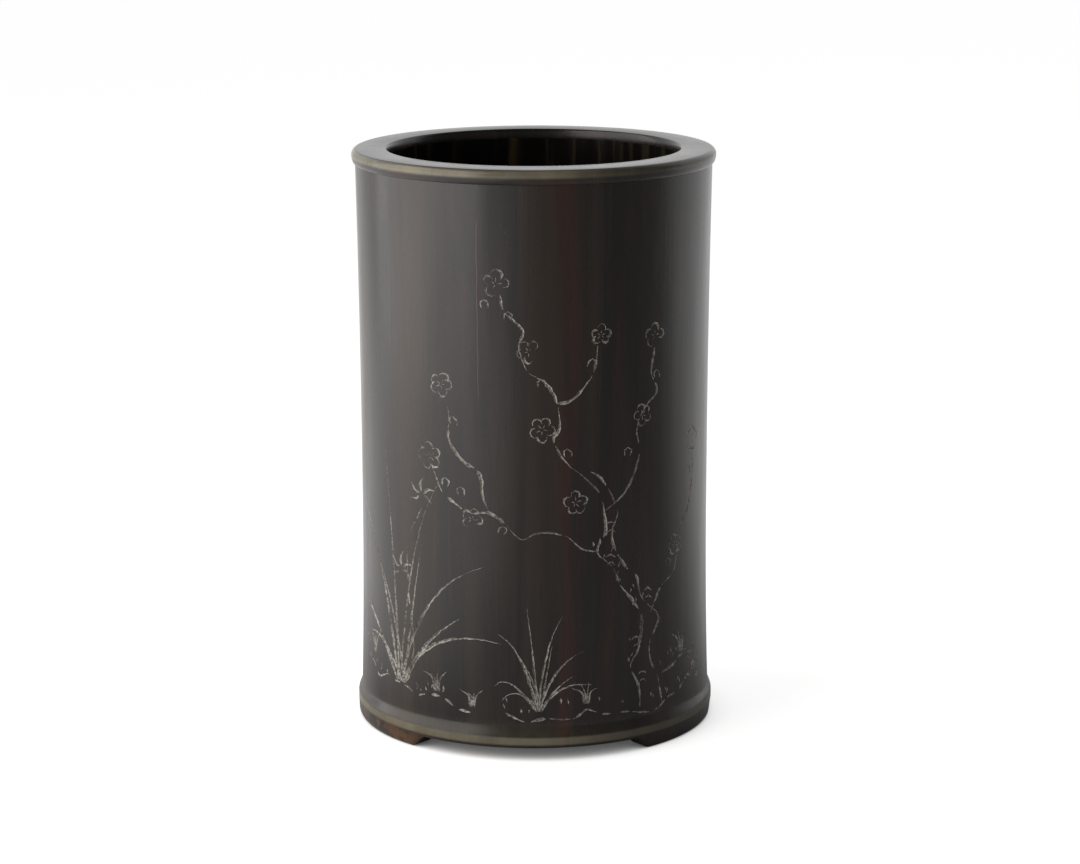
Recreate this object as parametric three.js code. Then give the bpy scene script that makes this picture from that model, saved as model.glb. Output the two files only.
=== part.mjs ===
// A brush pot turned from one length of dense hardwood. Its wall has a rolled lip, a faint
// waist and a flared foot ring that is cut away between three low feet. A round board closes
// the bottom from below, against a shoulder, and a tapered plug fills the board's centre.
//
// Millimetres, +Z up. The origin is on the pot's axis, on the plane that the feet stand on.
// Angles are in degrees, from the front (-Y) towards the right (+X).

import * as THREE from "three";
import { mergeVertices } from "three/addons/utils/BufferGeometryUtils.js";

// Wall
const potHeight = 160;
const boreRadius = 39.9;
const wallThickness = 8.3; // at the waist, where the wall is thinnest
const waistHeight = 62;
const neckFlare = 0.8; // how much wider than the waist the body is under the lip
const ankleFlare = 0.75; // and above the foot ring
const flarePower = 2.2; // how late the body starts to widen towards its ends

// Lip
const lipDepth = 4.0;
const lipProud = 1.0; // how far the lip stands out from the body
const lipCrown = 1.6; // from the flat top down to the lip's widest line
const lipCorner = 1.6; // how far in from that line the flat top starts
const mouthRounding = 0.9; // width of the bore's softened upper edge
const mouthDrop = 2.6; // and its height

// Foot ring
const sweepTop = 9.6; // where the body starts to sweep out into the ring
const sweepBottom = 6.0; // below this the ring's face is upright
const ringProud = 1.05; // how far the ring stands out from the body
const ringRounding = 1.1; // width of the ring's rounded lower edge
const ringRoundingHeight = 2.0; // and its height at a foot
const archHeight = 3.3; // height of the underside between the feet
const innerChamfer = 0.8; // on the inner edge of the underside
const footCount = 3;
const firstFoot = 58; // direction of the front right foot
const footWidth = 38; // flat part of a foot, as an angle
const ogeeWidth = 5.5; // each curved end of a foot, as an angle

// Base board and plug
const shoulderWidth = 2.7;
const boardThickness = 6.7;
const boardRecess = 6.0; // from the foot plane up to the board
const boardChamfer = 0.5;
const plugRadius = 10; // at its lower, wider face
const plugTaper = 0.5; // how much narrower its upper face is
const plugProud = 0.4; // how far it stands below the board
const plugChamfer = 0.4;
const seatGap = 0.3; // clearance between pieces that touch

// Smoothness of the facets
const arcSteps = 5; // steps in each small rounding
const sweepSteps = 7;
const bodySteps = 12; // steps along the body
const footSteps = 6;
const ogeeSteps = 5;
const archSteps = 11;
const boardSides = 72;
const plugSides = 36;

// Sizes that follow from the ones above
const waistRadius = boreRadius + wallThickness;
const neckRadius = waistRadius + neckFlare;
const ankleRadius = waistRadius + ankleFlare;
const lipRadius = neckRadius + lipProud;
const ringRadius = ankleRadius + ringProud;
const neckHeight = potHeight - lipDepth;
const rebateRadius = boreRadius + shoulderWidth;
const boardTop = boardRecess + boardThickness;
const shoulderHeight = boardTop + seatGap;
const plugTopRadius = plugRadius - plugTaper;

const wood = new THREE.MeshStandardMaterial({
  color: 0x2f2523,
  roughness: 0.28,
  metalness: 0,
});
const innerWood = new THREE.MeshStandardMaterial({
  color: 0x3a2a24,
  roughness: 0.55,
  metalness: 0,
});
const plugWood = new THREE.MeshStandardMaterial({
  color: 0x32241e,
  roughness: 0.6,
  metalness: 0,
});

// Points on part of an ellipse, from one angle to another. 0 degrees points outwards from the
// axis and 90 degrees points up.
function arc(radius, height, outwards, upwards, from, to) {
  const points = [];
  for (let step = 0; step <= arcSteps; step += 1) {
    const turn = THREE.MathUtils.degToRad(from + ((to - from) * step) / arcSteps);
    points.push(
      new THREE.Vector2(
        radius + outwards * Math.cos(turn),
        height + upwards * Math.sin(turn),
      ),
    );
  }
  return points;
}

// Radius of the waisted body at a height.
function bodyRadius(height) {
  const above = height > waistHeight;
  const end = above ? neckHeight : sweepTop;
  const flare = above ? neckFlare : ankleFlare;
  const share = (height - waistHeight) / (end - waistHeight);
  return waistRadius + flare * Math.pow(share, flarePower);
}

// The S-shaped sweep from the upright face of the foot ring up into the body.
function sweepPoints() {
  const points = [];
  for (let step = 0; step <= sweepSteps; step += 1) {
    const share = step / sweepSteps;
    const curve = THREE.MathUtils.smoothstep(share, 0, 1);
    points.push(
      new THREE.Vector2(
        THREE.MathUtils.lerp(ringRadius, ankleRadius, curve),
        THREE.MathUtils.lerp(sweepBottom, sweepTop, share),
      ),
    );
  }
  return points;
}

// The body between the foot ring and the lip, from the bottom up, without its end points.
function bodyPoints() {
  const points = [];
  for (let step = 1; step < bodySteps; step += 1) {
    const height = THREE.MathUtils.lerp(sweepTop, neckHeight, step / bodySteps);
    points.push(new THREE.Vector2(bodyRadius(height), height));
  }
  return points;
}

// Closed section of the wall as it is at a foot: up the outside, over the lip, down the bore
// and the rebate, and back along the underside.
function wallProfile() {
  const crownHeight = potHeight - lipCrown;
  const points = [
    ...arc(
      ringRadius - ringRounding,
      ringRoundingHeight,
      ringRounding,
      ringRoundingHeight,
      -90,
      0,
    ),
    ...sweepPoints(),
    ...bodyPoints(),
    ...arc(neckRadius, crownHeight, lipProud, lipDepth - lipCrown, -90, 0),
    ...arc(lipRadius - lipCorner, crownHeight, lipCorner, lipCrown, 0, 90).slice(1),
    ...arc(
      boreRadius + mouthRounding,
      potHeight - mouthDrop,
      mouthRounding,
      mouthDrop,
      90,
      180,
    ),
    new THREE.Vector2(boreRadius, shoulderHeight),
    new THREE.Vector2(rebateRadius, shoulderHeight),
    new THREE.Vector2(rebateRadius, innerChamfer),
    new THREE.Vector2(rebateRadius + innerChamfer, 0),
  ];
  points.push(points[0].clone());
  return points;
}

// Directions of the wall's facets, with extra ones along the curved ends of each foot.
function wallAngles() {
  const pitch = 360 / footCount;
  const spans = [
    [footWidth, footSteps],
    [ogeeWidth, ogeeSteps],
    [pitch - footWidth - 2 * ogeeWidth, archSteps],
    [ogeeWidth, ogeeSteps],
  ];
  const angles = [];
  for (let foot = 0; foot < footCount; foot += 1) {
    let angle = firstFoot - footWidth / 2 + foot * pitch;
    for (const [width, steps] of spans) {
      for (let step = 0; step < steps; step += 1) {
        angles.push(angle + (width * step) / steps);
      }
      angle += width;
    }
  }
  angles.push(angles[0] + 360);
  return angles;
}

// Height of the underside in a direction: zero under a foot, the arch's height between feet,
// and an S-curve where one turns into the other.
function undersideHeight(angle) {
  const pitch = 360 / footCount;
  const offset = THREE.MathUtils.euclideanModulo(angle - firstFoot, pitch);
  const fromFoot = Math.min(offset, pitch - offset);
  return archHeight * THREE.MathUtils.smoothstep(fromFoot, footWidth / 2, footWidth / 2 + ogeeWidth);
}

// Leaves only merged positions, and stands the turning axis up along +Z.
function closed(geometry) {
  geometry.deleteAttribute("normal");
  geometry.deleteAttribute("uv");
  geometry.rotateX(Math.PI / 2);
  const merged = mergeVertices(geometry);
  merged.computeVertexNormals();
  return merged;
}

// The turned wall, with its underside cut up between the feet. Everything below the sweep
// rises in proportion, so the rounding follows the arch.
function wallGeometry() {
  const profile = wallProfile();
  const angles = wallAngles();
  const geometry = new THREE.LatheGeometry(profile, angles.length - 1);
  const position = geometry.getAttribute("position");
  angles.forEach((angle, ring) => {
    const turn = THREE.MathUtils.degToRad(angle);
    const lift = undersideHeight(angle);
    profile.forEach((point, index) => {
      const share = Math.max(0, 1 - point.y / sweepBottom);
      position.setXYZ(
        ring * profile.length + index,
        point.x * Math.sin(turn),
        point.y + lift * share,
        point.x * Math.cos(turn),
      );
    });
  });
  return closed(geometry);
}

// The base board, with a tapered hole for the plug.
function boardGeometry() {
  const radius = rebateRadius - seatGap;
  const profile = [
    [plugRadius + seatGap, boardRecess],
    [radius - boardChamfer, boardRecess],
    [radius, boardRecess + boardChamfer],
    [radius, boardTop - boardChamfer],
    [radius - boardChamfer, boardTop],
    [plugTopRadius + seatGap, boardTop],
    [plugRadius + seatGap, boardRecess],
  ].map(([r, z]) => new THREE.Vector2(r, z));
  return closed(new THREE.LatheGeometry(profile, boardSides));
}

// The plug, flush with the board's upper face and a little proud of its lower one.
function plugGeometry() {
  const profile = [
    [0, boardRecess - plugProud],
    [plugRadius - plugChamfer, boardRecess - plugProud],
    [plugRadius, boardRecess - plugProud + plugChamfer],
    [plugTopRadius, boardTop],
    [0, boardTop],
  ].map(([r, z]) => new THREE.Vector2(r, z));
  return closed(new THREE.LatheGeometry(profile, plugSides));
}

function piece(name, geometry, material) {
  const mesh = new THREE.Mesh(geometry, material);
  mesh.name = name;
  return mesh;
}

const brushPot = new THREE.Group();
brushPot.add(
  piece("pot_wall", wallGeometry(), wood),
  piece("base_board", boardGeometry(), innerWood),
  piece("base_plug", plugGeometry(), plugWood),
);

export default brushPot;
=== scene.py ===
"""A turned hardwood brush pot, dressed for a plain studio.

The wall, its base board and its plug are remade as fine meshes from the sizes that the
frame gives. The front of the wall is carved with shallow V-shaped strokes: a flowering
plum, a clump of orchid leaves and some grass. Metres, +Z up, with the carved front towards
-Y. Angles on the wall are counted from the front towards +X.
"""

import logging
import math
import random
from dataclasses import dataclass, field
from enum import Enum
from typing import Iterable, Sequence

import bmesh
import bpy
import numpy as np
from mathutils import Matrix, Vector
from mathutils.geometry import delaunay_2d_cdt

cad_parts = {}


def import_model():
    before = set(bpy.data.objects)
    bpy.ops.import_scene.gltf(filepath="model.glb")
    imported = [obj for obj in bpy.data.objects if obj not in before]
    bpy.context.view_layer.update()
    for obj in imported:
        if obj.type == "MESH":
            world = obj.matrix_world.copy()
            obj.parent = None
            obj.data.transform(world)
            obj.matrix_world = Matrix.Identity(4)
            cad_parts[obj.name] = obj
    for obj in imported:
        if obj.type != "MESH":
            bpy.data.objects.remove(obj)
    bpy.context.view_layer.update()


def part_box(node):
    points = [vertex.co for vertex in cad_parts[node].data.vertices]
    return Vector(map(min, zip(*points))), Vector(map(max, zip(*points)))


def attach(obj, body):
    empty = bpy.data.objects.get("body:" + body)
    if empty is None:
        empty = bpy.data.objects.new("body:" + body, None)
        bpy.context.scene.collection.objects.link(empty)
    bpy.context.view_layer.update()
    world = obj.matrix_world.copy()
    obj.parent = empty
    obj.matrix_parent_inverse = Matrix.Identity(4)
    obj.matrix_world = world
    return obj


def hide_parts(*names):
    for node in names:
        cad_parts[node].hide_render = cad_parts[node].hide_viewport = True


LOG = logging.getLogger("brush_pot")
MM = 0.001
SEAT_GAP = 0.3 * MM

Point = tuple[float, float]
Colour = tuple[float, float, float]
Socket = bpy.types.NodeSocket


class Part(Enum):
    """The surfaces of the wall that have a finish of their own."""

    OUTSIDE = 0
    CARVED = 1
    BORE = 2


class Ends(Enum):
    """Which ends of a chisel stroke thin out to a point."""

    BOTH = "both"
    LAST = "last"


def arc(
    centre: Point, reach: Point, start: float, stop: float, steps: int
) -> list[Point]:
    """Points on part of an ellipse in the section of a turned piece.

    Args:
        centre: Radius and height of the ellipse's centre.
        reach: How far it reaches outwards and upwards.
        start: First angle in degrees, where 0 points outwards and 90 points up.
        stop: Last angle in degrees.
        steps: Number of steps between the two.

    Returns:
        The points, as radius and height.
    """
    points = []
    for step in range(steps + 1):
        turn = math.radians(start + (stop - start) * step / steps)
        points.append(
            (
                centre[0] + reach[0] * math.cos(turn),
                centre[1] + reach[1] * math.sin(turn),
            )
        )
    return points


def smoothstep(value: float, low: float, high: float) -> float:
    """S-curve from 0 at low to 1 at high."""
    share = min(max((value - low) / (high - low), 0.0), 1.0)
    return share * share * (3.0 - 2.0 * share)


@dataclass(frozen=True)
class WallSizes:
    """Sizes of the turned wall, in metres and degrees."""

    height: float
    lip_radius: float
    bore_radius: float = 39.9 * MM
    wall_thickness: float = 8.3 * MM
    waist_height: float = 62 * MM
    neck_flare: float = 0.8 * MM
    ankle_flare: float = 0.75 * MM
    flare_power: float = 2.2
    lip_depth: float = 4.0 * MM
    lip_crown: float = 1.6 * MM
    lip_corner: float = 1.6 * MM
    mouth_rounding: float = 0.9 * MM
    mouth_drop: float = 2.6 * MM
    sweep_top: float = 9.6 * MM
    sweep_bottom: float = 6.0 * MM
    ring_rounding: float = 1.1 * MM
    ring_rounding_height: float = 2.0 * MM
    arch_height: float = 3.3 * MM
    inner_chamfer: float = 0.8 * MM
    shoulder_width: float = 2.7 * MM
    foot_count: int = 3
    first_foot: float = 58.0
    foot_width: float = 38.0
    ogee_width: float = 5.5
    arc_steps: int = 10
    body_rows: int = 44

    @property
    def waist_radius(self) -> float:
        """Outer radius where the body is narrowest."""
        return self.bore_radius + self.wall_thickness

    @property
    def neck_height(self) -> float:
        """Height of the crease under the lip."""
        return self.height - self.lip_depth

    def body_radius(self, height: float) -> float:
        """Outer radius of the waisted body at a height."""
        above = height > self.waist_height
        end = self.neck_height if above else self.sweep_top
        flare = self.neck_flare if above else self.ankle_flare
        share = (height - self.waist_height) / (end - self.waist_height)
        return self.waist_radius + flare * max(share, 0.0) ** self.flare_power

    def body_slope(self, height: float) -> float:
        """Change of the outer radius with height, for the shading."""
        step = 0.5 * MM
        rise = self.body_radius(height + step) - self.body_radius(height - step)
        return rise / (2 * step)

    def body_heights(self) -> list[float]:
        """Heights of the rows of the body, from the foot ring up to the neck."""
        span = self.neck_height - self.sweep_top
        return [
            self.sweep_top + span * row / self.body_rows
            for row in range(self.body_rows + 1)
        ]

    def underside(self, angle: float) -> float:
        """Height of the underside in a direction: 0 under a foot, arched between."""
        pitch = 360.0 / self.foot_count
        offset = (angle - self.first_foot) % pitch
        from_foot = min(offset, pitch - offset)
        edge = self.foot_width / 2
        return self.arch_height * smoothstep(from_foot, edge, edge + self.ogee_width)


@dataclass(frozen=True)
class Stroke:
    """One chisel stroke on the unrolled wall, in millimetres.

    The first number of a point is the way round the wall from the front towards +X, and
    the second is the height.
    """

    path: tuple[Point, ...]
    width: float
    ends: Ends = Ends.BOTH


@dataclass
class Carving:
    """The strokes of the carved scene, drawn from a fixed seed."""

    seed: int = 7
    sample: float = 0.9
    wobble: float = 0.1
    depth_share: float = 0.42
    tip_width: float = 0.06
    strokes: list[Stroke] = field(default_factory=list)

    def __post_init__(self) -> None:
        """Starts the seeded hand and draws the whole scene."""
        self.hand = random.Random(self.seed)
        self.plum()
        self.orchid(base=(-41.0, 17.0), reach=1.0)
        self.orchid(base=(1.0, 13.5), reach=0.45)
        self.ground()

    def add(self, path: Iterable[Point], width: float, ends: Ends = Ends.BOTH) -> None:
        """Adds one stroke.

        Args:
            path: Points that the stroke passes through.
            width: Its width at the widest.
            ends: Which of its ends thin out.
        """
        self.strokes.append(Stroke(tuple(path), width, ends))

    def broken(self, path: Sequence[Point], width: float, dash: float) -> None:
        """Adds a long line as a row of strokes with small breaks.

        Args:
            path: Points that the line passes through.
            width: Width of its strokes.
            dash: Usual length of one stroke.
        """
        line = resample(self.gnarled(path), self.sample)
        start = 0
        while start < len(line) - 3:
            count = max(4, round(dash * self.hand.uniform(0.4, 1.5) / self.sample))
            piece = line[start : start + count]
            if len(piece) > 3:
                if self.hand.random() < 0.35:
                    piece = piece[::-1]
                pressed = width * self.hand.uniform(0.7, 1.5)
                self.add(piece[:: max(1, len(piece) // 5)] + [piece[-1]], pressed, Ends.LAST)
            start += count + self.hand.choice((0, 0, 1, 2))

    def gnarled(self, path: Sequence[Point]) -> list[Point]:
        """Bends a path out of line between its points, the way old wood grows.

        Args:
            path: Points of the path.

        Returns:
            The same points, with one bent aside in every gap.
        """
        bent = [path[0]]
        for (ax, az), (bx, bz) in zip(path, path[1:]):
            share = self.hand.uniform(0.35, 0.65)
            aside = self.hand.choice((-1, 1)) * self.hand.uniform(0.06, 0.15)
            bent.append(
                (
                    ax + (bx - ax) * share - (bz - az) * aside,
                    az + (bz - az) * share + (bx - ax) * aside,
                )
            )
            bent.append((bx, bz))
        return bent

    def plum(self) -> None:
        """Draws the leaning plum: a gnarled trunk, branches, blossoms and buds."""
        trunk = [(30, 12), (27, 24), (31, 36), (24, 47), (17, 57), (19, 68), (12, 79)]
        self.broken(trunk, 0.75, 11)
        far_side = [(38, 12), (34, 24), (37, 36), (29, 49), (22, 58), (23, 68), (13, 80)]
        self.broken(far_side, 0.6, 9)
        self.moss(trunk[1:5])
        branches = [
            [(12, 79), (5, 88), (6, 98), (-2, 107), (-3, 118), (-9, 127)],
            [(17, 57), (8, 62), (-4, 61), (-12, 68), (-22, 70), (-29, 79)],
            [(34, 38), (43, 47), (45, 59), (52, 68), (52, 80)],
            [(19, 68), (28, 77), (29, 89), (36, 99), (35, 111)],
            [(6, 98), (14, 103), (17, 113)],
            [(-12, 68), (-15, 79), (-24, 88), (-25, 99)],
        ]
        for branch in branches:
            self.broken(branch, 0.62, 14)
        for knot in ((29, 30), (33, 43), (21, 54), (21, 63), (31, 20)):
            self.bark_mark(knot)
        for centre, size, turn in (
            ((-10, 130), 3.6, 10),
            ((-1.5, 112), 3.2, 55),
            ((-30, 82), 3.7, 30),
            ((-17, 66), 3.0, 0),
            ((-26, 102), 3.1, 70),
            ((35, 114), 3.3, 20),
            ((31, 93), 2.9, 44),
            ((53, 83), 3.2, 5),
            ((44, 55), 2.9, 33),
            ((2, 91), 3.4, 62),
            ((18, 116), 2.8, 15),
            ((11, 71), 3.2, 25),
        ):
            self.blossom(centre, size, turn)
        for bud in (
            (-7, 121), (2, 103), (-20, 73), (-25, 75), (-22, 92), (36, 103), (51, 74),
            (15, 108), (26, 83), (-9, 63), (41, 50), (-13, 124), (9, 84),
        ):
            self.bud(bud)

    def bark_mark(self, place: Point) -> None:
        """Adds two short curved cuts that stand for a knot in the bark."""
        x, z = place
        self.add([(x - 1.6, z + 1.2), (x, z + 1.9), (x + 1.5, z + 0.9)], 0.5)
        self.add([(x - 1.0, z - 0.8), (x + 0.4, z - 0.3), (x + 1.4, z - 1.2)], 0.4)

    def blossom(self, centre: Point, size: float, turn: float) -> None:
        """Adds a five-petalled blossom with its stamens.

        Args:
            centre: Its middle.
            size: Its outer radius.
            turn: Its turn in degrees.
        """
        petals = self.hand.choice((4, 5, 5, 5))
        for petal in range(petals):
            middle = math.radians(turn + 72 * petal + self.hand.uniform(-9, 9))
            radius = size * self.hand.uniform(0.34, 0.48)
            cx = centre[0] + math.cos(middle) * size * 0.62
            cz = centre[1] + math.sin(middle) * size * 0.62
            first = self.hand.uniform(-140, -95)
            last = self.hand.uniform(70, 135)
            path = []
            for step in range(6):
                a = middle + math.radians(first + (last - first) * step / 5)
                path.append((cx + radius * math.cos(a), cz + radius * math.sin(a)))
            self.add(path, 0.5 * self.hand.uniform(0.7, 1.4), Ends.LAST)
            inner, outer = size * 0.1, size * self.hand.uniform(0.26, 0.44)
            along = [(inner + outer * k / 2) for k in range(3)]
            self.add(
                [
                    (centre[0] + r * math.cos(middle), centre[1] + r * math.sin(middle))
                    for r in along
                ],
                0.26,
                Ends.LAST,
            )

    def bud(self, place: Point) -> None:
        """Adds a plum bud: two short cupped cuts on a stalk."""
        x, z = place
        lean = self.hand.uniform(-0.6, 0.6)
        self.add([(x - 0.9, z - 0.5), (x - 1.0 + lean, z + 1.0), (x + lean, z + 1.7)], 0.5)
        self.add([(x + 0.8, z - 0.6), (x + 1.1 + lean, z + 0.8), (x + lean, z + 1.7)], 0.42)

    def orchid(self, base: Point, reach: float) -> None:
        """Adds a clump of arching orchid leaves, with two flowers on the large one.

        Args:
            base: Where the leaves spring from.
            reach: Size of the clump against the large one.
        """
        leaves = [
            (-18, 26, -26.5, 15), (-9, 40, -24, 47), (-4, 44, -7, 64), (3, 42, 14, 58),
            (8, 30, 27, 36), (12, 20, 32, 15), (-12, 18, -22, 7), (5, 26, 8, 40),
            (-2, 20, -12, 34), (7, 13, 20, 21),
        ]
        for index, (bend_x, bend_z, tip_x, tip_z) in enumerate(leaves):
            foot = (base[0] + 0.35 * (index - 4) * reach, base[1])
            bend = (base[0] + bend_x * reach, base[1] + bend_z * reach)
            tip = (base[0] + tip_x * reach, base[1] + tip_z * reach)
            path = []
            for step in range(7):
                t = step / 6
                path.append(
                    tuple(
                        (1 - t) ** 2 * foot[i] + 2 * t * (1 - t) * bend[i] + t * t * tip[i]
                        for i in (0, 1)
                    )
                )
            pressed = 0.85 * self.hand.uniform(0.7, 1.3) * (0.6 + 0.4 * reach)
            self.add(path, pressed, Ends.LAST)
        if reach < 1:
            return
        stem = [(base[0] + 1, base[1]), (base[0] + 3, base[1] + 26), (base[0] + 8, base[1] + 50)]
        self.broken(stem, 0.45, 12)
        for centre in ((stem[1][0] - 3, stem[1][1] + 6), (stem[2][0], stem[2][1] + 4)):
            for turn, length in ((80, 5.2), (140, 4.6), (200, 4.0), (20, 4.8), (-30, 4.2)):
                a = math.radians(turn)
                b = math.radians(turn + 16)
                self.add(
                    [
                        (centre[0] + 0.7 * math.cos(a), centre[1] + 0.7 * math.sin(a)),
                        (
                            centre[0] + length * 0.55 * math.cos(b),
                            centre[1] + length * 0.55 * math.sin(b),
                        ),
                        (centre[0] + length * math.cos(a), centre[1] + length * math.sin(a)),
                    ],
                    0.8,
                    Ends.LAST,
                )

    def ground(self) -> None:
        """Adds the low banks and the tufts of grass along the bottom."""
        banks = [
            [(-60, 21), (-52, 16), (-44, 17), (-35, 14.5), (-26, 15.5), (-15, 12.5)],
            [(-8, 13), (3, 11.5), (14, 13.5), (25, 11.5), (40, 12.5), (50, 16.5), (58, 15)],
            [(38, 20), (46, 23), (54, 22)],
        ]
        for bank in banks:
            self.broken(bank, 0.65, 6)
            self.moss(bank)
        for x, z, size in (
            (-55, 22, 6.5), (-28, 17, 6), (-17, 14, 5), (14, 15, 5.5), (47, 24, 6), (54, 17, 5),
        ):
            for lean in (-0.75, -0.3, 0.1, 0.55):
                tip = (x + lean * size, z + size * self.hand.uniform(0.75, 1.1))
                middle = (x + lean * size * 0.35, z + size * 0.6)
                self.add([(x + lean, z), middle, tip], 0.6, Ends.LAST)

    def moss(self, path: Sequence[Point]) -> None:
        """Adds short dabs of moss beside a path, in uneven groups."""
        for x, z in resample(path, 4.5):
            for _ in range(self.hand.choice((0, 1, 2, 3))):
                dx = x + self.hand.uniform(-1.8, 1.8)
                dz = z + self.hand.uniform(0.8, 3.2)
                lean = self.hand.uniform(-0.5, 0.7)
                tip = (dx + lean, dz + self.hand.uniform(0.8, 1.7))
                self.add([(dx, dz), ((dx + tip[0]) / 2 + 0.1, (dz + tip[1]) / 2), tip], 0.5)

    def sampled(self) -> list[tuple[np.ndarray, np.ndarray]]:
        """Turns the strokes into centre lines with a width at each point.

        Returns:
            For each stroke its points and its half widths, in millimetres.
        """
        result = []
        for stroke in self.strokes:
            line = np.array(resample(stroke.path, self.sample))
            count = len(line)
            share = np.linspace(0, 1, count)
            body = np.minimum(1, 3.2 * np.minimum(share, 1 - share) + 0.12)
            if stroke.ends is Ends.LAST:
                body = np.minimum(1, 9 * share + 0.3) * np.minimum(1, 1.5 * (1 - share) + 0.1)
            rough = np.array([self.hand.uniform(0.62, 1.28) for _ in range(count)])
            half = np.maximum(stroke.width * body * rough, self.tip_width) / 2
            half[0] = half[-1] = self.tip_width / 2
            shake = [
                (self.hand.uniform(-1, 1), self.hand.uniform(-1, 1)) for _ in range(count)
            ]
            result.append((line + self.wobble * np.array(shake), half))
        return result


def resample(path: Sequence[Point], step: float) -> list[Point]:
    """Smooth line through some points, with points about a step apart.

    Args:
        path: Points that the line passes through.
        step: Distance between the new points.

    Returns:
        The new points.
    """
    knots = [np.array(p, float) for p in path]
    knots = [2 * knots[0] - knots[1], *knots, 2 * knots[-1] - knots[-2]]
    line: list[Point] = []
    for a, b, c, d in zip(knots, knots[1:], knots[2:], knots[3:]):
        count = max(1, round(float(np.linalg.norm(c - b)) / step))
        for k in range(count):
            t = k / count
            p = 0.5 * (
                2 * b
                + (c - a) * t
                + (2 * a - 5 * b + 4 * c - d) * t * t
                + (3 * b - a - 3 * c + d) * t**3
            )
            line.append((float(p[0]), float(p[1])))
    line.append((float(knots[-2][0]), float(knots[-2][1])))
    return line


@dataclass
class CarvedPanel:
    """The front of the body, unrolled, cut by the strokes and rolled up again."""

    sizes: WallSizes
    carving: Carving
    half_angle: int = 84
    grid_angle: int = 2
    merge: float = 1e-3

    def __post_init__(self) -> None:
        """Samples the strokes once, because they come from a seeded hand."""
        self.lines = self.carving.sampled()

    def unrolled(self, angle: float) -> float:
        """Way round the wall at the waist, in millimetres, for an angle in degrees."""
        return math.radians(angle) * self.sizes.waist_radius / MM

    def triangles(self) -> tuple[np.ndarray, list[tuple[int, ...]], list[bool]]:
        """Triangulates the unrolled panel around the strokes.

        Returns:
            Points in millimetres, triangles, and whether each triangle is in a stroke.
        """
        heights = [h / MM for h in self.sizes.body_heights()]
        points: list[Vector] = []
        edges: list[tuple[int, int]] = []
        self.add_border(points, edges, heights)
        inner = range(-self.half_angle + self.grid_angle, self.half_angle, self.grid_angle)
        for row, height in enumerate(heights[1:-1]):
            shift = 0.5 * self.grid_angle if row % 2 else 0.0
            for angle in inner:
                if angle + shift < self.half_angle - 0.5:
                    points.append(Vector((self.unrolled(angle + shift), height)))
        outlines: list[list[int]] = []
        limit = self.unrolled(self.half_angle) - 1.0
        for line, half in self.lines:
            if np.abs(line[:, 0]).max() > limit or not self.within_heights(line[:, 1]):
                raise ValueError(f"a stroke leaves the panel near {line[0]}")
            along = np.gradient(line, axis=0)
            along /= np.linalg.norm(along, axis=1)[:, None]
            across = np.stack([-along[:, 1], along[:, 0]], 1) * half[:, None]
            first = len(points)
            count = len(line)
            for p in (*(line - across), *(line + across)[::-1], *line[1:-1]):
                points.append(Vector((float(p[0]), float(p[1]))))
            outlines.append(list(range(first, first + 2 * count)))
            ridge = list(range(first + 2 * count, first + 3 * count - 2))
            edges.extend(zip(ridge, ridge[1:]))
        found = delaunay_2d_cdt(points, edges, outlines, 0, self.merge)
        verts, _, faces, _, _, face_sources = found
        coords = np.array([tuple(v) for v in verts])
        return coords, [tuple(f) for f in faces], [bool(s) for s in face_sources]

    def within_heights(self, heights: np.ndarray) -> bool:
        """Whether some heights all lie on the panel, clear of its ends."""
        low, high = self.sizes.sweep_top / MM + 0.2, self.sizes.neck_height / MM - 0.2
        return bool(heights.min() > low and heights.max() < high)

    def add_border(
        self, points: list[Vector], edges: list[tuple[int, int]], heights: list[float]
    ) -> None:
        """Adds the panel's edge, with the points that the rest of the wall has there."""
        left, right = self.unrolled(-self.half_angle), self.unrolled(self.half_angle)
        angles = range(-self.half_angle, self.half_angle + 1)
        ring = [Vector((self.unrolled(a), heights[0])) for a in angles]
        ring += [Vector((right, h)) for h in heights[1:]]
        ring += [Vector((self.unrolled(a), heights[-1])) for a in reversed(angles[:-1])]
        ring += [Vector((left, h)) for h in reversed(heights[1:-1])]
        first = len(points)
        points.extend(ring)
        count = len(ring)
        edges.extend((first + i, first + (i + 1) % count) for i in range(count))

    def depths(self, coords: np.ndarray) -> np.ndarray:
        """Depth of the carving at each point, in millimetres.

        Args:
            coords: Points on the unrolled panel.

        Returns:
            The deepest cut of any stroke there, 0 on untouched wood.
        """
        depth = np.zeros(len(coords))
        for line, half in self.lines:
            low = line.min(0) - 1.0
            high = line.max(0) + 1.0
            near = np.all((coords > low) & (coords < high), axis=1)
            if not near.any():
                continue
            spots = coords[near][:, None, :]
            start, step = line[:-1][None], (line[1:] - line[:-1])[None]
            length2 = np.maximum((step**2).sum(2), 1e-9)
            t = np.clip(((spots - start) * step).sum(2) / length2, 0, 1)
            gap = np.linalg.norm(spots - start - t[:, :, None] * step, axis=2)
            width = half[:-1][None] * (1 - t) + half[1:][None] * t
            cut = (np.clip(1 - gap / width, 0, 1) * width).max(1)
            depth[near] = np.maximum(depth[near], cut)
        depth = 2 * self.carving.depth_share * depth
        depth[depth < 0.02] = 0
        return depth

    def build(self) -> tuple[np.ndarray, list[tuple[int, ...]], list[Part]]:
        """Makes the rolled-up panel.

        Returns:
            Its vertices in metres, its triangles, and the surface each belongs to.
        """
        coords, faces, carved = self.triangles()
        depth = self.depths(coords)
        verts = np.empty((len(coords), 3))
        for index, (x, z) in enumerate(coords):
            angle = x * MM / self.sizes.waist_radius
            radius = self.sizes.body_radius(z * MM) - depth[index] * MM
            verts[index] = (radius * math.sin(angle), -radius * math.cos(angle), z * MM)
        parts = [Part.CARVED if c else Part.OUTSIDE for c in carved]
        return verts, faces, parts


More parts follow.
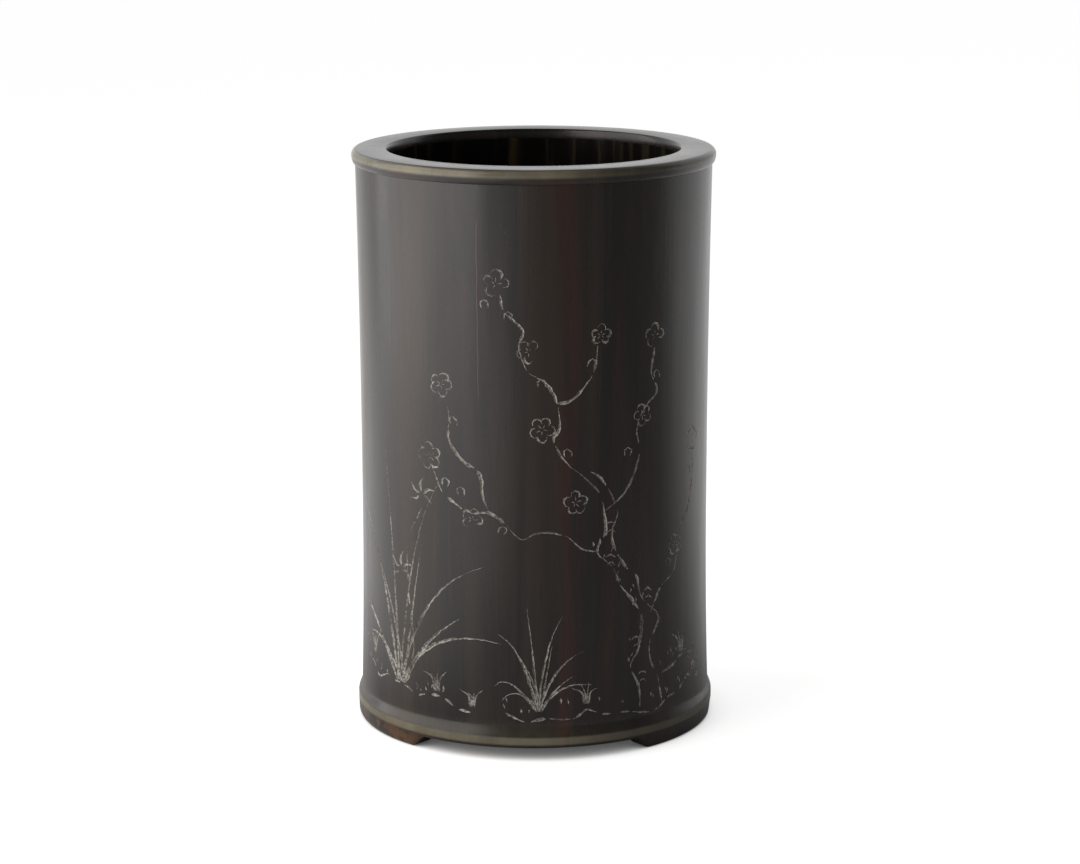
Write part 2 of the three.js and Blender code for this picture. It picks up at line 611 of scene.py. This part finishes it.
@dataclass
class PotWall:
    """The turned wall, with its lip, foot ring, feet, bore and carved front."""

    sizes: WallSizes
    panel: CarvedPanel
    name: str = "turned_wall"
    segments: int = 360
    weld: float = 3e-6
    crease: float = 35.0

    def profile(self) -> list[tuple[float, float, Part]]:
        """Closed section of the wall at a foot, up the outside and down the bore.

        Returns:
            Radius, height, and the surface that starts at each point.
        """
        s = self.sizes
        crown = s.height - s.lip_crown
        neck = s.body_radius(s.neck_height)
        ankle = s.body_radius(s.sweep_top)
        steps = s.arc_steps
        outer = s.lip_radius
        lip_under = arc((neck, crown), (outer - neck, s.lip_depth - s.lip_crown), -90, 0, steps)
        lip_top = arc((outer - s.lip_corner, crown), (s.lip_corner, s.lip_crown), 0, 90, steps)
        under = arc(
            (outer - s.ring_rounding, s.ring_rounding_height),
            (s.ring_rounding, s.ring_rounding_height),
            -90,
            0,
            steps,
        )
        sweep = [
            (
                outer + (ankle - outer) * smoothstep(k, 0, 2 * steps),
                s.sweep_bottom + (s.sweep_top - s.sweep_bottom) * k / (2 * steps),
            )
            for k in range(2 * steps + 1)
        ]
        mouth = arc(
            (s.bore_radius + s.mouth_rounding, s.height - s.mouth_drop),
            (s.mouth_rounding, s.mouth_drop),
            90,
            180,
            steps,
        )
        body = [(s.body_radius(h), h) for h in s.body_heights()[1:-1]]
        outside = [*under, *sweep, *body, *lip_under, *lip_top[1:], *mouth]
        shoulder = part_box("base_board")[1].z + SEAT_GAP
        depth = s.height - s.mouth_drop - shoulder
        bore = [
            (s.bore_radius, s.height - s.mouth_drop - depth * k / 24)
            for k in range(1, 25)
        ]
        rebate = s.bore_radius + s.shoulder_width
        rest = [
            (rebate, shoulder),
            (rebate, s.inner_chamfer),
            (rebate + s.inner_chamfer, 0.0),
        ]
        points = []
        for index, (radius, height) in enumerate([*outside, *bore, *rest]):
            inside = index >= len(outside) - 1
            points.append((radius, height, Part.BORE if inside else Part.OUTSIDE))
        return points

    def rings(self) -> tuple[np.ndarray, list[tuple[int, ...]], list[Part]]:
        """Makes the turned surface, without the panel at the front.

        Returns:
            Vertices in metres, quads, and the surface each belongs to.
        """
        s = self.sizes
        section = self.profile()
        count = len(section)
        step = 360 / self.segments
        verts = np.empty((self.segments * count, 3))
        for ring in range(self.segments):
            angle = ring * step
            lift = s.underside(angle)
            turn = math.radians(angle)
            for index, (radius, height, _) in enumerate(section):
                raised = height + lift * max(0.0, 1 - height / s.sweep_bottom)
                verts[ring * count + index] = (
                    radius * math.sin(turn),
                    -radius * math.cos(turn),
                    raised,
                )
        faces: list[tuple[int, ...]] = []
        parts: list[Part] = []
        for ring in range(self.segments):
            middle = ((ring + 0.5) * step + 180) % 360 - 180
            following = (ring + 1) % self.segments
            for index in range(count):
                after = (index + 1) % count
                low, high = section[index][1], section[after][1]
                on_body = (
                    section[index][2] is Part.OUTSIDE
                    and low >= s.sweep_top - 1e-6
                    and high <= s.neck_height + 1e-6
                    and high > low
                )
                if on_body and abs(middle) < self.panel.half_angle:
                    continue
                faces.append(quad(ring * count, following * count, index, after))
                parts.append(section[index][2])
        return verts, faces, parts

    def build(self, finishes: dict[Part, bpy.types.Material]) -> bpy.types.Object:
        """Joins the turned surface and the carved panel into one closed mesh.

        Args:
            finishes: The material of each surface.

        Returns:
            The wall's object.
        """
        ring_verts, ring_faces, ring_parts = self.rings()
        verts, faces, parts = self.panel.build()
        offset = len(ring_verts)
        faces = [tuple(i + offset for i in face) for face in faces]
        mesh = new_mesh(
            self.name,
            np.vstack([ring_verts, verts]),
            ring_faces + faces,
            [p.value for p in ring_parts + parts],
            self.weld,
        )
        for part in Part:
            mesh.materials.append(finishes[part])
        mesh.set_sharp_from_angle(angle=math.radians(self.crease))
        self.shade_body(mesh)
        return place(mesh)

    def shade_body(self, mesh: bpy.types.Mesh) -> None:
        """Gives the body its true turned shading, and each carved facet its own."""
        s = self.sizes
        low, high = s.sweep_top + 0.1 * MM, s.neck_height - 0.1 * MM
        normals = np.zeros((len(mesh.loops), 3), np.float32)
        for polygon in mesh.polygons:
            if polygon.material_index == Part.CARVED.value:
                for loop in polygon.loop_indices:
                    normals[loop] = polygon.normal
            elif polygon.material_index == Part.OUTSIDE.value:
                for loop in polygon.loop_indices:
                    x, y, z = mesh.vertices[mesh.loops[loop].vertex_index].co
                    if low < z < high:
                        radius = math.hypot(x, y)
                        normal = Vector((x / radius, y / radius, -s.body_slope(z)))
                        normals[loop] = normal.normalized()
        mesh.normals_split_custom_set(normals.tolist())


def quad(ring: int, following: int, index: int, after: int) -> tuple[int, ...]:
    """One face between two rings of a turned piece.

    Args:
        ring: First vertex of one ring.
        following: First vertex of the next ring.
        index: Place of the face's first point in the section.
        after: Place of its second point.

    Returns:
        The face's vertices in order.
    """
    return ring + index, following + index, following + after, ring + after


def new_mesh(
    name: str,
    verts: np.ndarray,
    faces: list[tuple[int, ...]],
    slots: list[int],
    weld: float,
) -> bpy.types.Mesh:
    """Makes a mesh, welds its seams and turns its faces outwards.

    Args:
        name: The mesh's name.
        verts: Its vertices, in metres.
        faces: Its faces.
        slots: The material slot of each face.
        weld: Vertices closer than this become one.

    Returns:
        The mesh, smooth-shaded.
    """
    mesh = bpy.data.meshes.new(name)
    mesh.from_pydata(verts.tolist(), [], faces)
    mesh.polygons.foreach_set("material_index", slots)
    solid = bmesh.new()
    solid.from_mesh(mesh)
    bmesh.ops.remove_doubles(solid, verts=solid.verts, dist=weld)
    bmesh.ops.dissolve_degenerate(solid, edges=solid.edges, dist=weld / 10)
    bmesh.ops.recalc_face_normals(solid, faces=solid.faces)
    open_edges = sum(1 for edge in solid.edges if not edge.is_manifold)
    LOG.info("%s: %d faces, %d open edges", name, len(solid.faces), open_edges)
    solid.to_mesh(mesh)
    solid.free()
    mesh.polygons.foreach_set("use_smooth", [True] * len(mesh.polygons))
    return mesh


def place(mesh: bpy.types.Mesh) -> bpy.types.Object:
    """Puts a mesh into the scene as an object of the same name."""
    obj = bpy.data.objects.new(mesh.name, mesh)
    bpy.context.scene.collection.objects.link(obj)
    return obj


@dataclass
class TurnedDisc:
    """A round turned piece with softened edges, such as the base board or its plug."""

    name: str
    section: list[Point]
    segments: int = 180
    crease: float = 30.0

    def build(self, finish: bpy.types.Material) -> bpy.types.Object:
        """Turns the section into a closed mesh.

        Args:
            finish: The material of the whole piece.

        Returns:
            The piece's object.
        """
        count = len(self.section)
        verts = np.empty((self.segments * count, 3))
        faces = []
        for ring in range(self.segments):
            turn = 2 * math.pi * ring / self.segments
            following = (ring + 1) % self.segments
            for index, (radius, height) in enumerate(self.section):
                verts[ring * count + index] = (
                    radius * math.sin(turn),
                    -radius * math.cos(turn),
                    height,
                )
                after = (index + 1) % count
                on_axis = radius < 1e-9 and self.section[after][0] < 1e-9
                if not on_axis:
                    faces.append(quad(ring * count, following * count, index, after))
        mesh = new_mesh(self.name, verts, faces, [0] * len(faces), 1e-6)
        mesh.materials.append(finish)
        mesh.set_sharp_from_angle(angle=math.radians(self.crease))
        return place(mesh)


def base_board() -> TurnedDisc:
    """The base board, with a turned groove near its edge underneath."""
    low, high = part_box("base_board")
    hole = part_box("base_plug")[1].x + SEAT_GAP
    edge, soft = high.x, 0.5 * MM
    groove = edge - 9 * MM
    section = [
        (hole, low.z),
        (groove - 1.4 * MM, low.z),
        (groove - 0.9 * MM, low.z + 0.5 * MM),
        (groove + 0.9 * MM, low.z + 0.5 * MM),
        (groove + 1.4 * MM, low.z),
        (edge - soft, low.z),
        (edge, low.z + soft),
        (edge, high.z - soft),
        (edge - soft, high.z),
        (hole - 0.5 * MM, high.z),
    ]
    return TurnedDisc("bottom_board", section)


def base_plug() -> TurnedDisc:
    """The plug in the middle of the base board, wider below."""
    low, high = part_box("base_plug")
    edge, soft = high.x, 0.4 * MM
    section = [
        (0.0, low.z),
        (edge - soft, low.z),
        (edge - 0.3 * soft, low.z + 0.3 * soft),
        (edge, low.z + soft),
        (edge - 0.5 * MM, high.z),
        (0.0, high.z),
    ]
    return TurnedDisc("centre_plug", section, segments=96)


class Nodes:
    """A node tree, written one node to a call."""

    def __init__(self, owner: bpy.types.Material | bpy.types.World) -> None:
        """Empties the owner's node tree.

        Args:
            owner: The material or world that the tree belongs to.
        """
        owner.use_nodes = True
        self.tree = owner.node_tree
        self.tree.nodes.clear()

    def node(self, kind: str, **values: object) -> bpy.types.Node:
        """Adds a node.

        Args:
            kind: Its type, such as ShaderNodeMath.
            **values: Settings of the node itself.

        Returns:
            The new node.
        """
        made = self.tree.nodes.new(kind)
        for key, value in values.items():
            setattr(made, key, value)
        return made

    def feed(self, node: bpy.types.Node, entry: int | str, value: object) -> None:
        """Links a socket to a node's input, or sets the input to a plain value."""
        target = node.inputs[entry]
        if isinstance(value, Socket):
            self.tree.links.new(value, target)
        elif isinstance(value, tuple) and len(value) == 3 and target.type == "RGBA":
            target.default_value = (*value, 1.0)
        else:
            target.default_value = value

    def math(self, operation: str, *values: object, clamp: bool = False) -> Socket:
        """Adds a math node and returns its result."""
        made = self.node("ShaderNodeMath", operation=operation, use_clamp=clamp)
        for index, value in enumerate(values):
            self.feed(made, index, value)
        return made.outputs[0]

    def fade(
        self, value: Socket, low: float, high: float, to_low: float = 0, to_high: float = 1
    ) -> Socket:
        """Adds a smooth step from one value at low to another at high."""
        made = self.node("ShaderNodeMapRange", interpolation_type="SMOOTHSTEP")
        for entry, number in zip(
            ("From Min", "From Max", "To Min", "To Max"), (low, high, to_low, to_high)
        ):
            self.feed(made, entry, number)
        self.feed(made, "Value", value)
        return made.outputs[0]

    def split(self, vector: Socket) -> tuple[Socket, Socket, Socket]:
        """The three parts of a vector, one by one."""
        made = self.node("ShaderNodeSeparateXYZ")
        self.feed(made, 0, vector)
        return tuple(made.outputs)

    def output(self, kind: str, surface: Socket) -> None:
        """Adds the tree's output and links the shader to it."""
        self.feed(self.node(kind), 0, surface)


class Graph(Nodes):
    """The node tree of a material for one of the pot's woods."""

    def __init__(self, name: str) -> None:
        """Starts an empty material.

        Args:
            name: The material's name.
        """
        self.material = bpy.data.materials.new(name)
        super().__init__(self.material)

    def mix(self, share: object, first: object, second: object) -> Socket:
        """Mixes two colours and returns the result."""
        made = self.node("ShaderNodeMix", data_type="RGBA")
        self.feed(made, 0, share)
        self.feed(made, 6, first)
        self.feed(made, 7, second)
        return made.outputs[2]

    def noise(
        self, stretch: Colour, detail: float = 4.0, rough: float = 0.55, twist: float = 0.0
    ) -> Socket:
        """Adds noise that is stretched along the piece.

        Args:
            stretch: Features per metre along X, Y and Z.
            detail: Number of finer layers.
            rough: Strength of the finer layers.
            twist: Distortion.

        Returns:
            The noise, between 0 and 1.
        """
        place_ = self.node("ShaderNodeMapping")
        self.feed(place_, "Vector", self.coordinates())
        self.feed(place_, "Scale", stretch)
        made = self.node("ShaderNodeTexNoise")
        self.feed(made, "Vector", place_.outputs[0])
        self.feed(made, "Scale", 1.0)
        self.feed(made, "Detail", detail)
        self.feed(made, "Roughness", rough)
        self.feed(made, "Distortion", twist)
        return made.outputs[0]

    def coordinates(self) -> Socket:
        """The piece's own coordinates, in metres."""
        if not hasattr(self, "_coordinates"):
            self._coordinates = self.node("ShaderNodeTexCoord").outputs["Object"]
        return self._coordinates

    def axes(self) -> tuple[Socket, Socket, Socket]:
        """The three coordinates, one by one."""
        if not hasattr(self, "_axes"):
            self._axes = self.split(self.coordinates())
        return self._axes

    def bearing(self) -> Socket:
        """Angle round the pot's axis in degrees, from the front towards +X."""
        if not hasattr(self, "_bearing"):
            x, y, _ = self.axes()
            turn = self.math("ARCTAN2", x, self.math("MULTIPLY", y, -1.0))
            self._bearing = self.math("MULTIPLY", turn, math.degrees(1))
        return self._bearing

    def finish(self, colour: object, rough: object, bump: Socket | None, **extra: float) -> None:
        """Adds the surface shader and the output.

        Args:
            colour: Base colour, plain or linked.
            rough: Roughness, plain or linked.
            bump: Height for the bump in metres, or nothing.
            **extra: Other plain inputs, with spaces written as underscores.
        """
        shader = self.node("ShaderNodeBsdfPrincipled")
        self.feed(shader, "Base Color", colour)
        self.feed(shader, "Roughness", rough)
        for key, value in extra.items():
            self.feed(shader, key.replace("_", " "), value)
        if bump is not None:
            made = self.node("ShaderNodeBump")
            self.feed(made, "Strength", 1.0)
            self.feed(made, "Distance", 1.0)
            self.feed(made, "Height", bump)
            self.feed(shader, "Normal", made.outputs[0])
        self.output("ShaderNodeOutputMaterial", shader.outputs[0])


@dataclass(frozen=True)
class Streak:
    """A reddish streak that runs up the wood, in degrees and metres."""

    angle: float
    half_width: float
    low: float
    high: float
    strength: float


@dataclass(frozen=True)
class PolishedHardwood:
    """The dark, hand-polished wood of the wall."""

    name: str = "polished_dark_hardwood"
    dark: Colour = (0.0105, 0.0082, 0.0075)
    brown: Colour = (0.036, 0.0235, 0.0175)
    red: Colour = (0.050, 0.0155, 0.0105)
    # Pale olive of the bands on the lip, the foot ring and the flare: mostly painted highlight,
    # the key lamp's reflection, with a little real dust
    olive: Colour = (0.24, 0.215, 0.15)
    worn: Colour = (0.115, 0.052, 0.02)
    fleck: Colour = (0.13, 0.11, 0.085)
    pore: Colour = (0.004, 0.003, 0.003)
    crack: Colour = (0.14, 0.075, 0.055)
    crack_angle: float = -18.8
    crack_low: float = 0.094
    crack_high: float = 0.15
    # Heights of the lip's and the foot ring's bands of painted highlight with a little dust
    lip_sheen_and_dust_band: tuple[float, float, float, float] = (0.1574, 0.1584, 0.1596, 0.1599)
    ring_sheen_and_dust_band: tuple[float, float, float, float] = (0.004, 0.0048, 0.006, 0.0069)
    chafed_foot: float = -64.0
    roughness: float = 0.28
    rim_roughness: float = 0.15
    index: float = 1.5
    streaks: tuple[Streak, ...] = (
        Streak(10.5, 5.5, -0.01, 0.17, 1.0),
        Streak(26.0, 4.0, 0.085, 0.128, 0.7),
        Streak(24.0, 4.5, 0.02, 0.078, 0.6),
        Streak(-46.0, 4.0, 0.115, 0.165, 0.55),
        Streak(-22.0, 3.5, 0.09, 0.13, 0.4),
        Streak(152.0, 7.0, 0.0, 0.12, 0.7),
        Streak(-118.0, 5.0, 0.04, 0.17, 0.6),
    )

    def streak_mask(self, g: Graph) -> Socket:
        """Where the reddish streaks lie, with ragged edges."""
        _, _, z = g.axes()
        ragged = g.noise((420.0, 420.0, 16.0), 5, 0.62)
        drift = g.noise((14.0, 14.0, 22.0), 2)
        shift = g.math("MULTIPLY", g.math("SUBTRACT", drift, 0.5), 9.0)
        bearing = g.math("ADD", g.bearing(), shift)
        total: object = 0.0
        for streak in self.streaks:
            away = g.math("ABSOLUTE", g.math("SUBTRACT", bearing, streak.angle))
            mask = g.fade(away, 0.0, streak.half_width, streak.strength, 0.0)
            rise = g.fade(z, streak.low - 0.012, streak.low + 0.012)
            fall = g.fade(z, streak.high - 0.012, streak.high + 0.012, 1.0, 0.0)
            mask = g.math("MULTIPLY", g.math("MULTIPLY", mask, rise), fall)
            total = g.math("ADD", total, mask)
        return g.math("MULTIPLY", total, g.fade(ragged, 0.36, 0.62), clamp=True)

    def material(self) -> bpy.types.Material:
        """Builds the material."""
        g = Graph(self.name)
        x, y, z = g.axes()
        square = g.math("ADD", g.math("MULTIPLY", x, x), g.math("MULTIPLY", y, y))
        outside = g.fade(g.math("SQRT", square), 0.0465, 0.0475)
        broad = g.noise((75.0, 75.0, 4.0), 5, 0.6, 0.4)
        fine = g.noise((950.0, 950.0, 24.0), 4, 0.6)
        colour = g.mix(g.fade(broad, 0.42, 0.7), self.dark, self.brown)
        colour = g.mix(g.math("MULTIPLY", g.fade(fine, 0.5, 0.75), 0.5), colour, self.brown)
        colour = g.mix(self.streak_mask(g), colour, self.red)
        flecks = g.noise((2400.0, 2400.0, 330.0), 2, 0.5)
        patches = g.fade(g.noise((45.0, 45.0, 30.0), 3), 0.52, 0.72)
        pale = g.math("MULTIPLY", g.fade(flecks, 0.68, 0.78), g.math("MULTIPLY", patches, 0.5))
        colour = g.mix(pale, colour, self.fleck)
        pores = g.noise((3200.0, 3200.0, 140.0), 3, 0.6)
        colour = g.mix(g.fade(pores, 0.6, 0.72, 0.0, 0.6), colour, self.pore)
        line_drift = g.math("MULTIPLY", g.noise((30.0, 30.0, 60.0), 3), 1.6)
        shift = g.math("SUBTRACT", -self.crack_angle, line_drift)
        away = g.math("ABSOLUTE", g.math("ADD", g.bearing(), shift))
        low, high = self.crack_low, self.crack_high
        crack = g.math("MULTIPLY", g.fade(away, 0.06, 0.22, 0.8, 0.0), g.fade(z, low, low + 0.01))
        crack = g.math("MULTIPLY", crack, g.fade(z, high - 0.008, high, 1.0, 0.0))
        colour = g.mix(crack, colour, self.crack)
        # Painted highlight with a little dust: pale olive bands on the lip, the foot ring and the
        # flare above the feet, in noisy patches
        sheen_and_dust_patches = g.fade(g.noise((60.0, 60.0, 60.0), 4, 0.6), 0.35, 0.65, 0.6, 1.0)
        # Painted highlight: full strength on the key lamp's side, left of the front, and half as
        # strong on the right
        left = g.fade(g.bearing(), -2.0, 34.0, 1.0, 0.5)
        lip, ring = (
            g.math("MULTIPLY", g.fade(z, *sheen_and_dust_band[:2]), g.fade(z, *sheen_and_dust_band[2:], 1.0, 0.0))
            for sheen_and_dust_band in (self.lip_sheen_and_dust_band, self.ring_sheen_and_dust_band)
        )
        # Painted highlight on the upward-facing flare above the feet
        sweep = g.math("MULTIPLY", g.fade(z, 0.004, 0.006), g.fade(z, 0.0075, 0.0115, 0.16, 0.0))
        # All the bands of painted highlight together, partly dust
        worn = g.math("ADD", lip, g.math("MAXIMUM", ring, sweep), clamp=True)
        share = g.math("MULTIPLY", sheen_and_dust_patches, g.math("MULTIPLY", left, outside))
        sheen_and_dust_band = g.math("MULTIPLY", worn, share)
        colour = g.mix(sheen_and_dust_band, colour, self.olive)
        from_foot = g.math("ABSOLUTE", g.math("SUBTRACT", g.bearing(), self.chafed_foot))
        near_foot = g.fade(from_foot, 18.0, 34.0, 1.0, 0.0)
        chafe = g.math("MULTIPLY", g.fade(z, 0.0015, 0.0065, 1.0, 0.0), near_foot)
        edge_wear = g.fade(g.noise((220.0, 220.0, 260.0), 4, 0.65), 0.42, 0.6)
        colour = g.mix(g.math("MULTIPLY", chafe, edge_wear), colour, self.worn)
        smear = g.noise((70.0, 70.0, 9.0), 5, 0.62)
        rough = g.fade(smear, 0.3, 0.7, self.roughness - 0.05, self.roughness + 0.07)
        handled = g.fade(z, 0.1588, 0.1598, 1.0, self.rim_roughness / self.roughness)
        rough = g.math("MULTIPLY", rough, handled)
        height = g.math(
            "ADD",
            g.math("MULTIPLY", g.fade(pores, 0.6, 0.72), -9e-6),
            g.math("MULTIPLY", fine, 1.6e-5),
        )
        g.finish(colour, rough, height, IOR=self.index)
        return g.material


@dataclass(frozen=True)
class CarvedFill:
    """The cut wood in the strokes, with the worn remains of a pale filling."""

    name: str = "pale_worn_filling"
    pale: Colour = (0.6, 0.575, 0.53)
    bare: Colour = (0.045, 0.035, 0.03)

    def material(self) -> bpy.types.Material:
        """Builds the material."""
        g = Graph(self.name)
        speckle = g.noise((1500.0, 1500.0, 1500.0), 3, 0.6)
        patch = g.noise((150.0, 150.0, 110.0), 3, 0.6)
        specks = g.fade(speckle, 0.36, 0.58, 0.25, 1.0)
        kept = g.math("MULTIPLY", specks, g.fade(patch, 0.3, 0.6, 0.3, 1.0))
        colour = g.mix(kept, self.bare, self.pale)
        g.finish(colour, 0.75, g.math("MULTIPLY", speckle, 8e-5), IOR=1.45)
        return g.material


@dataclass(frozen=True)
class BoreWood:
    """The smoother, darker wood inside the pot, with faint olive streaks."""

    name: str = "bore_hardwood"
    dark: Colour = (0.006, 0.005, 0.0045)
    olive: Colour = (0.045, 0.034, 0.014)

    def material(self) -> bpy.types.Material:
        """Builds the material."""
        g = Graph(self.name)
        streaks = g.noise((210.0, 210.0, 13.0), 5, 0.65)
        fine = g.noise((900.0, 900.0, 50.0), 3)
        colour = g.mix(g.fade(streaks, 0.52, 0.72), self.dark, self.olive)
        rough = g.fade(streaks, 0.3, 0.7, 0.14, 0.26)
        g.finish(colour, rough, g.math("MULTIPLY", fine, 2.5e-5), IOR=1.46)
        return g.material


@dataclass(frozen=True)
class PlainHardwood:
    """The unpolished wood of the base board and its plug, cut across the grain."""

    name: str
    dark: Colour
    brown: Colour
    rings: float

    def material(self) -> bpy.types.Material:
        """Builds the material."""
        g = Graph(self.name)
        figure = g.noise((self.rings, self.rings * 0.12, self.rings), 5, 0.6, 0.6)
        fine = g.noise((1800.0, 260.0, 1800.0), 3, 0.6)
        colour = g.mix(g.fade(figure, 0.35, 0.68), self.dark, self.brown)
        colour = g.mix(g.fade(fine, 0.58, 0.72, 0.0, 0.6), colour, self.dark)
        rough = g.fade(fine, 0.3, 0.7, 0.45, 0.62)
        g.finish(colour, rough, g.math("MULTIPLY", fine, 4e-5), IOR=1.48)
        return g.material


@dataclass
class Studio:
    """Camera, lights, white surroundings and floor."""

    lens: float = 103.33
    distance: float = 0.8468
    eye_height: float = 0.267
    pitch: float = 12.465
    yaw: float = -0.107
    roll: float = -0.114
    key_width: float = 0.85
    key_height: float = 0.9
    key_distance: float = 0.48
    key_angle: float = -74.0
    key_radiance: float = 1.9
    key_tint: Colour = (1.0, 0.96, 0.915)
    camera_glow: float = 0.8
    mirrored_glow: float = 0.75
    contact_reach: float = 0.02
    front_white: float = 0.16
    ceiling_white: float = 0.35
    floor_half: float = 6.0
    paper: Colour = (0.8, 0.8, 0.8)

    def camera(self) -> None:
        """Stands the camera where the photograph was taken."""
        data = bpy.data.cameras.new("camera")
        data.lens = self.lens
        data.sensor_width = 36.0
        data.clip_start = 0.01
        camera = bpy.data.objects.new("camera", data)
        turn = Matrix.Rotation(math.radians(self.yaw), 4, "Z")
        tilt = Matrix.Rotation(math.radians(90 - self.pitch), 4, "X")
        level = Matrix.Rotation(math.radians(self.roll), 4, "Z")
        spot = Matrix.Translation((0, -self.distance, self.eye_height))
        camera.matrix_world = spot @ turn @ tilt @ level
        bpy.context.scene.collection.objects.link(camera)
        bpy.context.scene.camera = camera

    def lamp(
        self,
        name: str,
        angle: float,
        distance: float,
        lift: float,
        aim_height: float,
        size: Point,
        radiance: float,
    ) -> None:
        """Adds a rectangular lamp that faces the pot.

        Args:
            name: The lamp's name.
            angle: Its direction from the front towards +X, in degrees.
            distance: Its distance from the pot's axis.
            lift: Height of its middle.
            aim_height: Height on the pot's axis that it faces.
            size: Its width and height.
            radiance: Brightness of its surface.
        """
        data = bpy.data.lights.new(name, "AREA")
        data.shape = "RECTANGLE"
        data.size, data.size_y = size
        data.energy = radiance * math.pi * size[0] * size[1]
        data.color = self.key_tint
        lamp = bpy.data.objects.new(name, data)
        turn = math.radians(angle)
        spot = Vector((distance * math.sin(turn), -distance * math.cos(turn), lift))
        aim = Vector((0, 0, aim_height)) - spot
        facing = aim.to_track_quat("-Z", "Y").to_matrix().to_4x4()
        lamp.matrix_world = Matrix.Translation(spot) @ facing
        bpy.context.scene.collection.objects.link(lamp)

    def world(self) -> None:
        """Makes surroundings that are white behind the pot and dim in front of it."""
        world = bpy.data.worlds.new("studio")
        bpy.context.scene.world = world
        g = Nodes(world)
        _, y, z = g.split(g.node("ShaderNodeTexCoord").outputs["Generated"])
        backdrop = g.fade(y, 0.12, 0.42, self.front_white, 1.0)
        white = g.math("MULTIPLY", backdrop, g.fade(z, 0.45, 0.85, 1.0, self.ceiling_white))
        rays = g.node("ShaderNodeLightPath")
        back = g.node("ShaderNodeBackground")
        g.feed(back, "Strength", g.math("MAXIMUM", rays.outputs["Is Camera Ray"], white))
        g.output("ShaderNodeOutputWorld", back.outputs[0])

    def floor_glow(self, g: Nodes) -> Socket:
        """Adds what lifts the floor to white, seen directly or mirrored in the pot, with a
        painted contact shadow where the camera sees the floor near the pot.

        Args:
            g: The floor material's node tree.

        Returns:
            The strength of the glow.
        """
        rays = g.node("ShaderNodeLightPath").outputs
        contact = g.node("ShaderNodeAmbientOcclusion", samples=16)
        g.feed(contact, "Distance", self.contact_reach)
        x, y, _ = g.split(g.node("ShaderNodeNewGeometry").outputs["Position"])
        behind = g.fade(y, -0.05, 0.22, 0.0, self.mirrored_glow)
        left = g.fade(x, -0.055, -0.16, 0.0, self.mirrored_glow)
        mirror_rays = g.math("MAXIMUM", rays["Is Glossy Ray"], rays["Is Transmission Ray"])
        mirrored = g.math("MULTIPLY", mirror_rays, g.math("MAXIMUM", behind, left))
        # Painted contact shadow: the glow seen by the camera fades where ambient occlusion finds
        # the pot close by
        shadow = g.fade(contact.outputs["AO"], -0.1, 0.8, 0.0, self.camera_glow)
        seen = g.math("MULTIPLY", rays["Is Camera Ray"], shadow)
        return g.math("ADD", mirrored, seen)

    def floor(self) -> None:
        """Lays the white floor, which keeps the pot's shadow."""
        half = self.floor_half
        corners = [(-half, -half, 0), (half, -half, 0), (half, half, 0), (-half, half, 0)]
        mesh = bpy.data.meshes.new("floor")
        mesh.from_pydata(corners, [], [(0, 1, 2, 3)])
        material = bpy.data.materials.new("white_paper")
        g = Nodes(material)
        paper = g.node("ShaderNodeBsdfDiffuse")
        g.feed(paper, "Color", self.paper)
        glow = g.node("ShaderNodeEmission")
        g.feed(glow, "Strength", self.floor_glow(g))
        both = g.node("ShaderNodeAddShader")
        g.feed(both, 0, paper.outputs[0])
        g.feed(both, 1, glow.outputs[0])
        g.output("ShaderNodeOutputMaterial", both.outputs[0])
        mesh.materials.append(material)
        place(mesh)

    def build(self) -> None:
        """Builds the whole studio."""
        self.camera()
        self.world()
        self.floor()
        size = (self.key_width, self.key_height)
        middle = self.key_height / 2 + 0.005
        self.lamp(
            "key", self.key_angle, self.key_distance, middle, middle, size, self.key_radiance
        )


def dress(piece: bpy.types.Object, node: str) -> None:
    """Hangs a finished piece under the root body and hides the CAD node that it stands for.

    Args:
        piece: The finished piece.
        node: The CAD node it replaces.
    """
    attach(piece, "root")
    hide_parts(node)
    LOG.info("%s stands for %s", piece.name, node)


def main() -> None:
    """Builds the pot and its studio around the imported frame."""
    logging.basicConfig(level=logging.INFO, format="%(message)s")
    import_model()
    bpy.context.scene.view_settings.view_transform = "Standard"
    Studio().build()
    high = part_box("pot_wall")[1]
    sizes = WallSizes(height=high.z, lip_radius=50 * MM)
    finishes = {
        Part.OUTSIDE: PolishedHardwood().material(),
        Part.CARVED: CarvedFill().material(),
        Part.BORE: BoreWood().material(),
    }
    wall = PotWall(sizes, CarvedPanel(sizes, Carving())).build(finishes)
    dress(wall, "pot_wall")
    board_wood = PlainHardwood(
        "planed_base_hardwood", (0.02, 0.012, 0.009), (0.06, 0.033, 0.02), 240.0
    )
    dress(base_board().build(board_wood.material()), "base_board")
    plug_wood = PlainHardwood(
        "plug_hardwood", (0.016, 0.010, 0.008), (0.045, 0.026, 0.017), 420.0
    )
    dress(base_plug().build(plug_wood.material()), "base_plug")


if __name__ == "__main__":
    main()
